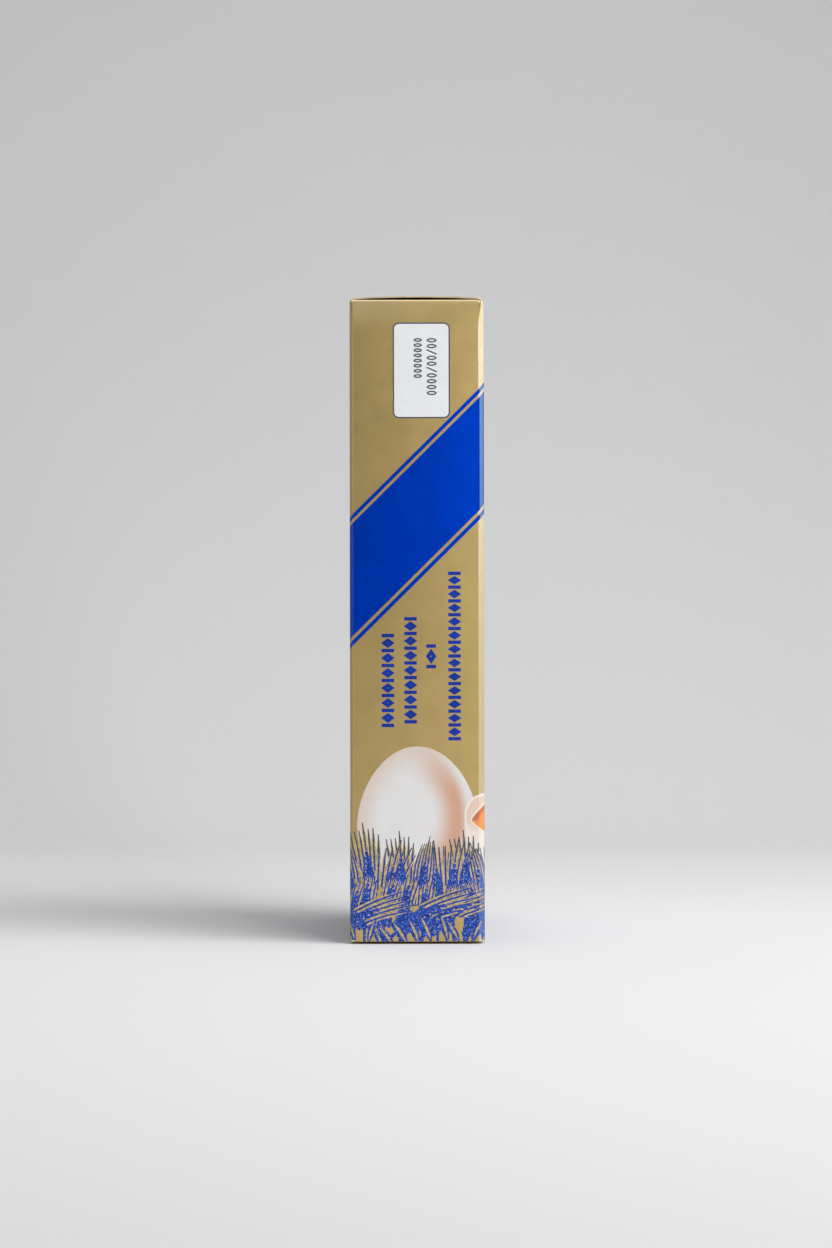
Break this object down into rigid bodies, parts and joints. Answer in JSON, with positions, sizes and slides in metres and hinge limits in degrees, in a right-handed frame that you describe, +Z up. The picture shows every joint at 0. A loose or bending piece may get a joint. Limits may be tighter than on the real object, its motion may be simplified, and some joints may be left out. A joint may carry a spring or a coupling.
{
  "type": "dry pasta carton",
  "caption": "Tall narrow folding carton of dry egg pasta, shut with a tucked, slightly bowed top flap. Gold board with a slanting blue band and a wheat and egg border.",
  "frame": {"origin": "middle of the footprint, on the surface that the carton stands on", "axes": "+Z up the carton's height, -Y out of the shown narrow front, +X across the front towards the side that the top and bottom flaps are hinged on"},
  "size_m": [0.0538, 0.1208, 0.2516],
  "materials": {
    "gold_board": "satin metallic gold ink on folding board",
    "cut_board": "raw cut edge of the board, matte and fibrous",
    "blue_ink": "solid blue ink under a thin gloss varnish",
    "white_patch": "bare white coated board, satin",
    "grey_code": "thin grey marking ink",
    "egg_print": "halftone print in white and peach",
    "yolk_print": "halftone print in orange",
    "wheat_ink": "mottled blue ink in fine strokes",
    "straw_ink": "pale straw-coloured ink in fine strokes"
  },
  "bodies": {
    "root": {"carton": "gold_board"}
  },
  "joints": []
}
